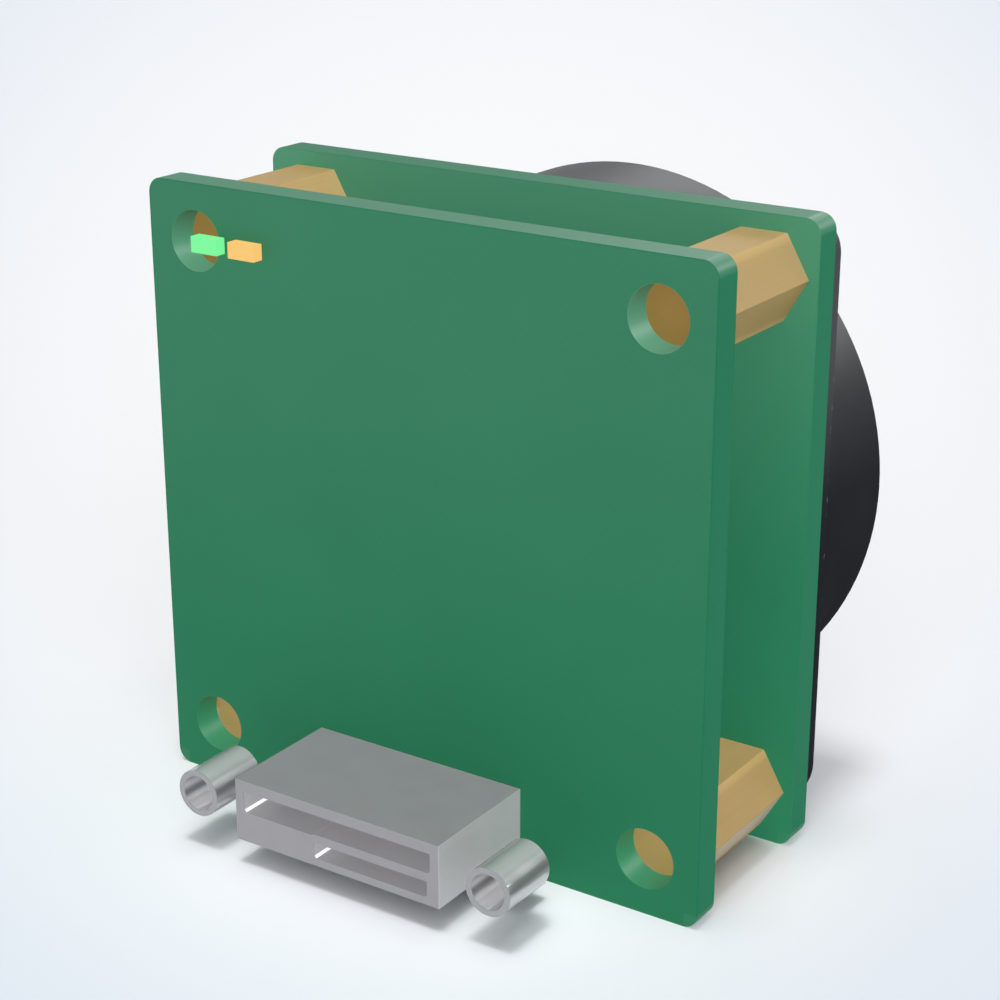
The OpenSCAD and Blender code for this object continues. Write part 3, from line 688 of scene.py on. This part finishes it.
class MODULE_OT_boards(PieceOperator, bpy.types.Operator):
    """Lacquer both boards and lay copper tracks, vias and printed outlines on their inner faces"""

    bl_idname = "module.boards"
    bl_label = "Circuit Boards"

    def execute(self, context):
        colours, parts, _ = settings()
        mask = mask_finish(colours)
        dress(mask, "rear_board", "front_board")
        rear_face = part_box("rear_board")[1].y
        front_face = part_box("front_board")[0].y
        self.tracks(parts, mask, rear_face, front_face)
        self.vias(colours, parts, rear_face, front_face)
        self.outlines(colours, rear_face)
        return {"FINISHED"}

    def run(self, bm, parts, face, up, points):
        """One track through its corner points, given in millimetres."""
        for (x0, z0), (x1, z1) in zip(points, points[1:]):
            start, end = Vector((x0, 0, z0)) * MM, Vector((x1, 0, z1)) * MM
            along = end - start
            verts = bmesh.ops.create_cube(bm, size=1)["verts"]
            bmesh.ops.scale(bm, vec=(along.length + parts.track, parts.copper, parts.track), verts=verts)
            turned = Matrix.Rotation(-math.atan2(along.z, along.x), 4, "Y")
            middle = (start + end) / 2 + Vector((0, face, 0)) + up * parts.copper / 2
            bmesh.ops.transform(bm, matrix=Matrix.Translation(middle) @ turned, verts=verts)

    def tracks(self, parts, mask, rear_face, front_face):
        bm = bmesh.new()
        chip_low, chip_high = (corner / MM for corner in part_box("usb_controller"))
        memory_low, memory_high = (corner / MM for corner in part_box("frame_memory"))
        link_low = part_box("link_socket")[0] / MM

        def rear(*points):
            self.run(bm, parts, rear_face, LENSWARD, points)

        for i in range(9):
            x = chip_low.x + 1.0 + i * 0.95
            end = x + 0.5 + 0.12 * i
            rear((x, chip_high.z), (x, chip_high.z + 0.5), (end, link_low.z - 0.9), (end, link_low.z))
        for i in range(7):
            z, x, more = memory_high.z - 1.2 - i, memory_high.x, 0.3 * i
            rear((chip_high.x, z), (memory_low.x, z))
            rear((x, z), (x + 0.6, z), (x + 1.3 + more, z - 0.7 - more), (x + 1.3 + more, z - 2.0 - more))
        for i in range(4):
            x, z = chip_low.x + 3.2 + i * 0.42, chip_low.z
            rear((x, z), (x, z - 1.4), (x + 1.0 - 0.2 * i, z - 5.0), (x + 1.2, -12.4))
        for i in range(12):
            x = -6.05 + i * 1.1
            self.run(bm, parts, front_face, REARWARD, [
                (x, link_low.z - 0.4), (x, 2.2 - 0.12 * i), (x * 0.8, -1.2 - 0.12 * i), (x * 0.8, -4.4)])
        finish_piece(bm, "copper_tracks", mask)

    def vias(self, colours, parts, rear_face, front_face):
        bm = bmesh.new()
        taken = [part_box(name) for name in (
            "usb_controller", "frame_memory", "clock_oscillator", "link_socket")]
        for name in ("spacers", "power_inductors", "power_regulators", "bypass_capacitors"):
            taken += solids(name)
        gap, field = 0.5 * MM, 29 * MM
        count = 0
        for i in range(parts.vias * 6):
            x = ((i * 0.61803) % 1 - 0.5) * field
            z = ((i * 0.75488) % 1 - 0.5) * field
            covered = any(
                low.x - gap < x < high.x + gap and low.z - gap < z < high.z + gap for low, high in taken)
            if covered or x > 8.2 * MM or z > 10 * MM:
                continue
            count += 1
            for face, up in ((rear_face, LENSWARD), (front_face, REARWARD)):
                disc(bm, (x, face, z), up, 0.24 * MM, parts.copper * 1.3, 14, 0.17 * MM)
            if count == parts.vias:
                break
        finish_piece(bm, "vias", metal_finish("via_tin", colours.tin, 0.42, metallic=0.5))

    def outlines(self, colours, face):
        bm = bmesh.new()
        line, lift, out, reach = 0.14 * MM, 0.015 * MM, 0.38 * MM, 1.1 * MM
        for low, high in [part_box(name) for name in ("usb_controller", "frame_memory", "clock_oscillator")]:
            for z, down in ((high.z + out, -1), (low.z - out, 1)):
                for x, side in ((low.x - out, 1), (high.x + out, -1)):
                    for wide, tall in ((reach, line), (line, reach)):
                        left, right = sorted((x, x + side * wide))
                        bottom, top = sorted((z, z + down * tall))
                        block(bm, (left, face, bottom), (right, face + lift, top))
        ink = moulded_finish("white_ink", colours.ink, 0.6, 0.05, 0.001)
        finish_piece(bm, "printed_outlines", ink, merge=False)


class MODULE_OT_spacers(PieceOperator, bpy.types.Operator):
    """Finish the brass spacers and the countersunk screws, and solder the spacers down"""

    bl_idname = "module.spacers"
    bl_label = "Spacers and Screws"

    def execute(self, context):
        colours, _, _ = settings()
        dress(brass_finish(colours), "spacers")
        dress(metal_finish("screw_steel", colours.screw, 0.36, 0.2, (1, 0.2, 1), 0.6), "front_screws")
        bm = bmesh.new()
        for low, high in solids("spacers"):
            foot = Vector(((low.x + high.x) / 2, low.y, (low.z + high.z) / 2))
            reach = (high.x - low.x) / 2
            outline = [(reach - 0.02 * MM, 0), (reach + 0.24 * MM, 0), (reach - 0.02 * MM, 0.2 * MM)]
            turn(bm, [foot + Vector((out, along, 0)) for out, along in outline], foot, LENSWARD, 6)
        tin = metal_finish("solder", colours.tin, 0.5, metallic=0.5)
        finish_piece(bm, "spacer_solder", tin, smooth=20)
        return {"FINISHED"}


class MODULE_OT_lens_mount(PieceOperator, bpy.types.Operator):
    """Finish the mounting plate and the lens ring, and cut the lens thread"""

    bl_idname = "module.lens_mount"
    bl_label = "Lens Mount"

    def execute(self, context):
        colours, parts, _ = settings()
        dress(anodised_finish(colours, "plate_black", False), "lens_plate")
        ring = anodised_finish(colours, "ring_black", True)
        dress(ring, "lens_ring")
        dress(moulded_finish("retainer_black", colours.black, 0.5, 0.06, 0.001), "filter_retainer")
        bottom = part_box("filter_retainer")[1].y
        bm = bmesh.new()
        start, length = Vector((0, bottom, 0)), -bottom - 0.25 * MM
        screw_ridge(bm, start, INCH / 2 * MM, parts.lens_depth, parts.lens_pitch, length, 120)
        finish_piece(bm, "lens_thread", ring)
        return {"FINISHED"}


class MODULE_OT_image_sensor(PieceOperator, bpy.types.Operator):
    """Finish the filter and the image sensor, and add its pixel field, pads and bond wires"""

    bl_idname = "module.image_sensor"
    bl_label = "Filter and Image Sensor"

    def execute(self, context):
        colours, parts, _ = settings()
        for material, node in (
            (glass_finish("filter_glass", (0.05, 0.15, 0.14), 0.30, (0.16, 0.10, 0.19)), "filter_glass"),
            (glass_finish("cover_glass", (0.20, 0.28, 0.28), 0.08, (0.14, 0.20, 0.24)), "sensor_cover_glass"),
            (moulded_finish("sensor_ceramic", colours.alumina, 0.6, 0.12, 0.003, 0.06), "sensor_package"),
            (metal_finish("sensor_silicon", colours.silicon, 0.2, 0.4, (1, 1, 1), 0.7, 0.0003), "sensor_die"),
            (moulded_finish("seal_foam", (0.02, 0.02, 0.02), 0.85, 0.2, 0.02), "sensor_seal"),
        ):
            dress(material, node)
        low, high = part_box("sensor_die")
        field = bmesh.new()
        border = Vector((0.75, 0, 0.8)) * MM
        block(field, Vector((low.x, high.y, low.z)) + border, high - border + LENSWARD * 0.01 * MM)
        finish_piece(field, "pixel_field", pixel_finish(), merge=False)
        gold = metal_finish("bond_gold", colours.gold, 0.25)
        wires, pads = bmesh.new(), bmesh.new()
        for side in (-1, 1):
            for outward, along, edge, count, pitch in (
                (Vector((side, 0, 0)), UP, high.x, 20, 0.32 * MM),
                (Vector((0, 0, side)), Vector((1, 0, 0)), high.z, 22, 0.34 * MM),
            ):
                half = (outward * side * 0.16 + along * 0.1) * MM
                for i in range(count):
                    place = along * (i - (count - 1) / 2) * pitch
                    start = place + outward * (edge - 0.2 * MM) + LENSWARD * high.y
                    self.bond(wires, parts, start, outward, high.y - low.y)
                    centre = place + outward * (edge + 0.36 * MM) + LENSWARD * low.y
                    block(pads, centre - half, centre + half + LENSWARD * 0.02 * MM)
        finish_piece(wires, "bond_wires", gold, smooth=80)
        finish_piece(pads, "bond_pads", gold, merge=False)
        return {"FINISHED"}

    def bond(self, bm, parts, start, outward, drop):
        """One wire from the die over its edge and down to a pad."""
        reach = 0.56 * MM
        ring = bmesh.ops.create_circle(
            bm, cap_ends=False, segments=5, radius=parts.wire / 2,
            matrix=Matrix.Translation(start) @ facing(LENSWARD),
        )["verts"]
        made = bmesh.ops.spin(
            bm, geom=ring + edges_at(ring), cent=start + outward * reach / 2, axis=LENSWARD.cross(outward),
            angle=math.pi, steps=7, use_merge=False, use_normal_flip=False, use_duplicate=False,
        )
        last = only(bmesh.types.BMEdge, made["geom_last"])
        leg = bmesh.ops.extrude_edge_only(bm, edges=last)["geom"]
        bmesh.ops.translate(bm, vec=REARWARD * drop, verts=only(bmesh.types.BMVert, leg))
        bmesh.ops.holes_fill(bm, edges=[edge for edge in bm.edges if edge.is_boundary], sides=5)


class MODULE_OT_socket(PieceOperator, bpy.types.Operator):
    """Finish the data socket's shell, insulator and contacts"""

    bl_idname = "module.socket"
    bl_label = "Data Socket"

    def execute(self, context):
        colours, _, _ = settings()
        # Both socket layers are painted light: a paler right side and slot ends, and near-white glints on the
        # slot bevels.
        layers = (colours.socket_painted_light, socket_painted_light_places), ((0.85, 0.85, 0.85), socket_painted_glints)
        steel = metal_finish("socket_steel", colours.steel, 0.46, 0.25, (1, 0.15, 1), 0.12, 0.0012, layers)
        dress(steel, "usb_housing")
        dress(moulded_finish("socket_plastic", colours.plastic, 0.45), "usb_insulator")
        dress(metal_finish("contact_gold", colours.gold, 0.3), "usb_contacts", "link_contacts")
        return {"FINISHED"}


class MODULE_OT_lock_posts(PieceOperator, bpy.types.Operator):
    """Finish the lock posts and their bracket, and cut the posts' threads"""

    bl_idname = "module.lock_posts"
    bl_label = "Lock Posts"

    def execute(self, context):
        colours, parts, _ = settings()
        # The posts' pale and dark streaks are painted reflections.
        layers = ((colours.post_painted_gleam, post_painted_reflections),)
        nickel = metal_finish("post_steel", colours.post, 0.11, 0.12, (0.4, 2.0, 0.4), 0.4, 0.0006, layers)
        dress(nickel, "lock_posts")
        dress(metal_finish("bracket_steel", colours.bracket, 0.36, 0.3, (0.2, 1, 1)), "lock_bracket")
        bm = bmesh.new()
        for low, high in solids("lock_posts"):
            start = (low + high) / 2
            start.y = low.y + parts.post_plain
            length = POST_BORE_DEPTH * MM - parts.post_plain
            screw_ridge(bm, start, POST_BORE_RADIUS * MM, parts.post_depth, parts.post_pitch, length, 48)
        finish_piece(bm, "post_threads", nickel)
        return {"FINISHED"}


class MODULE_OT_lights(PieceOperator, bpy.types.Operator):
    """Light the two indicators"""

    bl_idname = "module.lights"
    bl_label = "Indicator Lights"

    def execute(self, context):
        colours, _, _ = settings()
        dress(light_finish("led_green", colours.green_light), "led_green")
        dress(light_finish("led_amber", colours.amber_light), "led_amber")
        return {"FINISHED"}


class MODULE_OT_board_link(PieceOperator, bpy.types.Operator):
    """Finish the connector between the boards and solder its feet"""

    bl_idname = "module.board_link"
    bl_label = "Board Link"

    def execute(self, context):
        colours, _, _ = settings()
        plastic = moulded_finish("link_plastic", colours.plastic, 0.42)
        dress(plastic, "link_socket", "link_plug")
        bm = bmesh.new()
        low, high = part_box("link_socket")
        for foot_low, foot_high in solids("link_contacts"):
            side = 1 if foot_low.z > (low.z + high.z) / 2 else -1
            rear = foot_low.y < high.y - 3 * MM
            up = LENSWARD if rear else REARWARD
            face = foot_low.y if rear else foot_high.y
            edge = foot_high.z if side > 0 else foot_low.z
            middle = (foot_low.x + foot_high.x) / 2
            wedge(bm, Vector((middle, face, edge)), (0, 0, side), up, 0.34 * MM, 0.25 * MM, 0.17 * MM)
        tin = metal_finish("link_tin", colours.tin, 0.4, metallic=0.5)
        finish_piece(bm, "link_solder", tin)
        return {"FINISHED"}


class MODULE_OT_circuit_parts(PieceOperator, bpy.types.Operator):
    """Shape and finish the chips, the coils, the clock and the capacitors, with their solder"""

    bl_idname = "module.circuit_parts"
    bl_label = "Circuit Parts"

    def execute(self, context):
        colours, _, _ = settings()
        tin = metal_finish("joint_tin", colours.tin, 0.4, metallic=0.5)
        gold = metal_finish("joint_gold", colours.gold, 0.3)
        epoxy = moulded_finish("chip_epoxy", colours.epoxy, 0.55, 0.07, 0.003)
        joints = bmesh.new()
        for name, node, pads in (
            ("interface_chip", "usb_controller", 17), ("image_memory", "frame_memory", 13),
            ("regulators", "power_regulators", 5),
        ):
            bm = bmesh.new()
            for low, high in solids(node):
                self.chip(bm, low, high)
                self.leads(joints, low, high, pads, 0.5 * MM)
            finish_piece(bm, name, epoxy, (node,))
        finish_piece(joints, "chip_solder", tin)
        self.clock(colours, gold)
        self.coils(colours, tin)
        self.capacitors(colours, tin)
        return {"FINISHED"}

    def chip(self, bm, low, high):
        """Moulded package with softened edges and a round mark beside its first lead."""
        block(bm, low, high, 0.07 * MM, 2)
        up, _ = stance(low, high)
        top = high.y if up.y > 0 else low.y
        reach = min(high.x - low.x, high.z - low.z)
        inset = reach * 0.14
        mark = Vector((low.x + inset, top, high.z - inset))
        middle = (low.x + high.x) / 2
        level = [
            face for face in bm.faces if face.normal.dot(up) > 0.99
            and abs(face.calc_center_median().x - middle) < reach / 4
        ]
        roof = max(level, key=lambda face: face.calc_area())
        rim = list(roof.edges)
        bmesh.ops.delete(bm, geom=[roof], context="FACES_ONLY")
        circle = bmesh.ops.create_circle(
            bm, cap_ends=False, segments=20, radius=reach * 0.045,
            matrix=Matrix.Translation(mark) @ facing(up),
        )["verts"]
        loop = edges_at(circle)
        bmesh.ops.triangle_fill(bm, use_beauty=True, edges=rim + loop, normal=up)
        wall = bmesh.ops.extrude_edge_only(bm, edges=loop)["geom"]
        floor = only(bmesh.types.BMVert, wall)
        bmesh.ops.translate(bm, vec=-up * 0.06 * MM, verts=floor)
        bmesh.ops.scale(bm, vec=(0.86, 1, 0.86), verts=floor, space=Matrix.Translation(-mark))
        bottom = [edge for edge in only(bmesh.types.BMEdge, wall) if all(v in floor for v in edge.verts)]
        bmesh.ops.contextual_create(bm, geom=bottom)

    def leads(self, bm, low, high, count, pitch):
        """Rows of soldered leads along the four sides of a package."""
        up, face = stance(low, high)
        middle = (low + high) / 2
        for i in range(count):
            along = (i - (count - 1) / 2) * pitch
            for x, z, out in (
                (middle.x + along, low.z, (0, 0, -1)), (middle.x + along, high.z, (0, 0, 1)),
                (low.x, middle.z + along, (-1, 0, 0)), (high.x, middle.z + along, (1, 0, 0)),
            ):
                wedge(bm, Vector((x, face, z)), out, up, pitch * 0.5, 0.26 * MM, 0.2 * MM)

    def clock(self, colours, gold):
        low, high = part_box("clock_oscillator")
        can, base, feet = bmesh.new(), bmesh.new(), bmesh.new()
        step = low.y + 0.34 * MM
        edge = 0.14 * MM
        block(can, (low.x + edge, step, low.z + edge), (high.x - edge, high.y, high.z - edge), 0.1 * MM, 3)
        nickel = metal_finish("can_metal", colours.nickel, 0.3, 0.2, (1, 1, 0.2))
        finish_piece(can, "clock_lid", nickel, ("clock_oscillator",))
        block(base, low, (high.x, step, high.z), 0.04 * MM, 1)
        ceramic = moulded_finish("clock_ceramic", (0.05, 0.045, 0.04), 0.6)
        finish_piece(base, "clock_base", ceramic)
        for x, out in ((low.x, -1), (high.x, 1)):
            for z in (low.z + 0.6 * MM, high.z - 0.6 * MM):
                wedge(feet, Vector((x, low.y, z)), (out, 0, 0), LENSWARD, 0.7 * MM, 0.2 * MM, 0.26 * MM)
        finish_piece(feet, "clock_feet", gold)

    def terminals(self, bm, low, high, up, face, reach, rounding, fillet):
        """Metal ends from a part's low to its high corner, each with a solder fillet at its foot."""
        for x, out in ((low.x, -1), (high.x, 1)):
            left, right = sorted((x - out * reach * MM, x))
            block(bm, (left, low.y, low.z), (right, high.y, high.z), *rounding)
            foot = Vector((x, face, (low.z + high.z) / 2))
            wedge(bm, foot, (out, 0, 0), up, *(size * MM for size in fillet))

    def coils(self, colours, tin):
        body, ends = bmesh.new(), bmesh.new()
        for low, high in solids("power_inductors"):
            middle = (low + high) / 2
            block(body, (low.x, low.y + 0.1 * MM, low.z), high, 0.45 * MM, 4)
            disc(body, (middle.x, high.y - 0.02 * MM, middle.z), LENSWARD, 1.05 * MM, 0.02 * MM, 40, 1.0 * MM)
            foot_low = Vector((low.x, low.y, middle.z - 1.1 * MM))
            foot_high = Vector((high.x, low.y + 0.16 * MM, middle.z + 1.1 * MM))
            self.terminals(
                ends, foot_low, foot_high, LENSWARD, low.y, 0.9, (0.03 * MM, 1), (2.1, 0.22, 0.3))
        ferrite = moulded_finish("inductor_ferrite", colours.ferrite, 0.6, 0.1, 0.004)
        finish_piece(body, "coil_bodies", ferrite, ("power_inductors",))
        finish_piece(ends, "coil_feet", tin)

    def capacitors(self, colours, tin):
        body, ends = bmesh.new(), bmesh.new()
        inset = Vector((0.3, 0.02, 0.02)) * MM
        for low, high in solids("bypass_capacitors"):
            block(body, low + inset, high - inset, 0.05 * MM, 2)
            self.terminals(ends, low, high, *stance(low, high), 0.36, (0.07 * MM, 3), (0.76, 0.3, 0.45))
        ceramic = moulded_finish("capacitor_ceramic", colours.capacitor, 0.4, 0.1, 0.002, 0.12)
        finish_piece(body, "capacitor_bodies", ceramic, ("bypass_capacitors",))
        finish_piece(ends, "capacitor_ends", tin)


class MODULE_OT_studio(PieceOperator, bpy.types.Operator):
    """Set the floor, the soft lamps and the camera"""

    bl_idname = "module.studio"
    bl_label = "Studio"

    def execute(self, context):
        _, _, studio = settings()
        scene = context.scene
        floor = self.add_floor(studio)
        self.add_room(scene, studio.sky)
        self.add_lamps(studio, floor)
        self.add_camera(scene, studio)
        return {"FINISHED"}

    def add_floor(self, studio):
        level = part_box("rear_board")[0].z
        bm = bmesh.new()
        bmesh.ops.create_grid(bm, x_segments=1, y_segments=1, size=3.0)
        bmesh.ops.translate(bm, vec=(0, 0, level), verts=bm.verts)
        floor = shaped(bm, "studio_floor", floor_finish(studio, level))
        return floor

    def add_room(self, scene, sky):
        """Even light all round, white where the camera sees it, in mirrors and through glass."""
        world = bpy.data.worlds.new("studio_room")
        scene.world = world
        world.use_nodes = True
        tree = world.node_tree
        background = tree.nodes["Background"]
        background.inputs["Color"].default_value = (0.965, 0.98, 1.0, 1)
        path = tree.nodes.new("ShaderNodeLightPath")
        rays = ("Is Camera Ray", "Is Glossy Ray", "Is Transmission Ray")
        seen, mirrored, through = (Wire(tree, path.outputs[name]) for name in rays)
        white = seen.above(mirrored).above(through)
        plug(tree, sky + white * (1 - sky), background.inputs["Strength"])

    def add_lamps(self, studio, floor):
        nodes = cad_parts
        posts = nodes["lock_posts"], bpy.data.objects["post_threads"]
        low_nodes = [nodes[name] for name in (
            "usb_housing", "usb_insulator", "lock_posts", "lock_bracket", "spacers")]
        module = self.group("all_but_floor", [floor], "EXCLUDE")
        floor_alone = self.group("floor_alone", [floor])
        no_posts = self.group("all_but_floor_and_posts", [floor, *posts], "EXCLUDE")
        posts_alone = self.group("posts_alone", posts)
        low_parts = self.group("parts_near_the_floor", low_nodes)
        self.lamp("overhead_lamp", 250, 87, 12, studio.overhead, floor_alone)
        self.lamp("soft_overhead_lamp", 200, 89, 50, studio.soft, floor_alone, low_parts)
        for name, azimuth, elevation, width, brightness, lit in (
            ("ceiling_lamp", 200, 89, 40, studio.ceiling, module),
            ("front_panel", 303.8, 30, 60, studio.front, None),
            ("key_lamp", 303.8, 20, 30, studio.key, module),
            ("left_lamp", 236, 6, 36, studio.left, module),
            ("right_lamp", 350, 15, 40, studio.right, module),
            ("back_lamp", 104, 21, 30, studio.back, module),
            ("strip_lamp", 55, 25, 18, studio.strip, no_posts),
            ("post_lamp_low", 44.2, 14, 9, studio.gleam, posts_alone),
            ("post_lamp_middle", 46.4, 22, 9, studio.gleam, posts_alone),
            ("post_lamp_high", 49.8, 30, 9, studio.gleam, posts_alone),
        ):
            self.lamp(name, azimuth, elevation, width, brightness, lit, shadows=False)

    def group(self, name, members, link_state="INCLUDE"):
        """Collection that says what a lamp lights, leaves out or is blocked by."""
        made = bpy.data.collections.new(name)
        for member in members:
            made.objects.link(member)
        for item in made.collection_objects:
            item.light_linking.link_state = link_state
        return made

    def lamp(self, name, azimuth, elevation, width, brightness, lit=None, blockers=None, shadows=True):
        """Far soft lamp at an angle from +X, whose full light is brightness on white."""
        lamp = bpy.data.lights.new(name, "SUN")
        lamp.energy = brightness * math.pi
        lamp.angle = math.radians(width)
        lamp.use_shadow = shadows
        holder = placed(name, lamp)
        if lit:
            holder.light_linking.receiver_collection = lit
        if blockers:
            holder.light_linking.blocker_collection = blockers
        turn_by, rise = math.radians(azimuth), math.radians(elevation)
        toward = Vector((
            math.cos(turn_by) * math.cos(rise), math.sin(turn_by) * math.cos(rise), math.sin(rise)))
        holder.rotation_euler = toward.to_track_quat("Z", "Y").to_euler()
        holder.location = toward * 0.3

    def add_camera(self, scene, studio):
        camera = bpy.data.cameras.new("studio_camera")
        camera.lens = studio.lens
        camera.sensor_width = SENSOR_WIDTH
        camera.clip_start = 0.002
        camera.clip_end = 20
        seat = placed("studio_camera", camera)
        seat.location = studio.camera
        look = Vector(studio.aim) - Vector(studio.camera)
        seat.rotation_euler = look.to_track_quat("-Z", "Y").to_euler()
        scene.camera = seat
        scene.view_settings.view_transform = "Standard"


PIECES = (
    MODULE_OT_boards, MODULE_OT_spacers, MODULE_OT_lens_mount, MODULE_OT_image_sensor, MODULE_OT_socket,
    MODULE_OT_lock_posts, MODULE_OT_lights, MODULE_OT_board_link, MODULE_OT_circuit_parts, MODULE_OT_studio,
)


class MODULE_PT_panel(bpy.types.Panel):
    """Lists the module's pieces and their settings"""

    bl_idname = "MODULE_PT_panel"
    bl_label = "Camera Module"
    bl_space_type = "VIEW_3D"
    bl_region_type = "UI"
    bl_category = "Camera Module"

    def draw(self, context):
        for piece in PIECES:
            self.layout.operator(piece.bl_idname)
        for group in settings():
            box = self.layout.box()
            for name in group.bl_rna.properties.keys():
                if name not in ("rna_type", "name"):
                    box.prop(group, name)


CLASSES = (FinishSettings, PartSettings, StudioSettings, *PIECES, MODULE_PT_panel)


def register():
    for cls in CLASSES:
        bpy.utils.register_class(cls)
    bpy.types.Scene.module_finishes = PointerProperty(type=FinishSettings)
    bpy.types.Scene.module_parts = PointerProperty(type=PartSettings)
    bpy.types.Scene.module_studio = PointerProperty(type=StudioSettings)


def unregister():
    del bpy.types.Scene.module_studio
    del bpy.types.Scene.module_parts
    del bpy.types.Scene.module_finishes
    for cls in reversed(CLASSES):
        bpy.utils.unregister_class(cls)


def main():
    register()
    for piece in PIECES:
        group, name = piece.bl_idname.split(".")
        getattr(getattr(bpy.ops, group), name)()


if __name__ == "__main__":
    main()
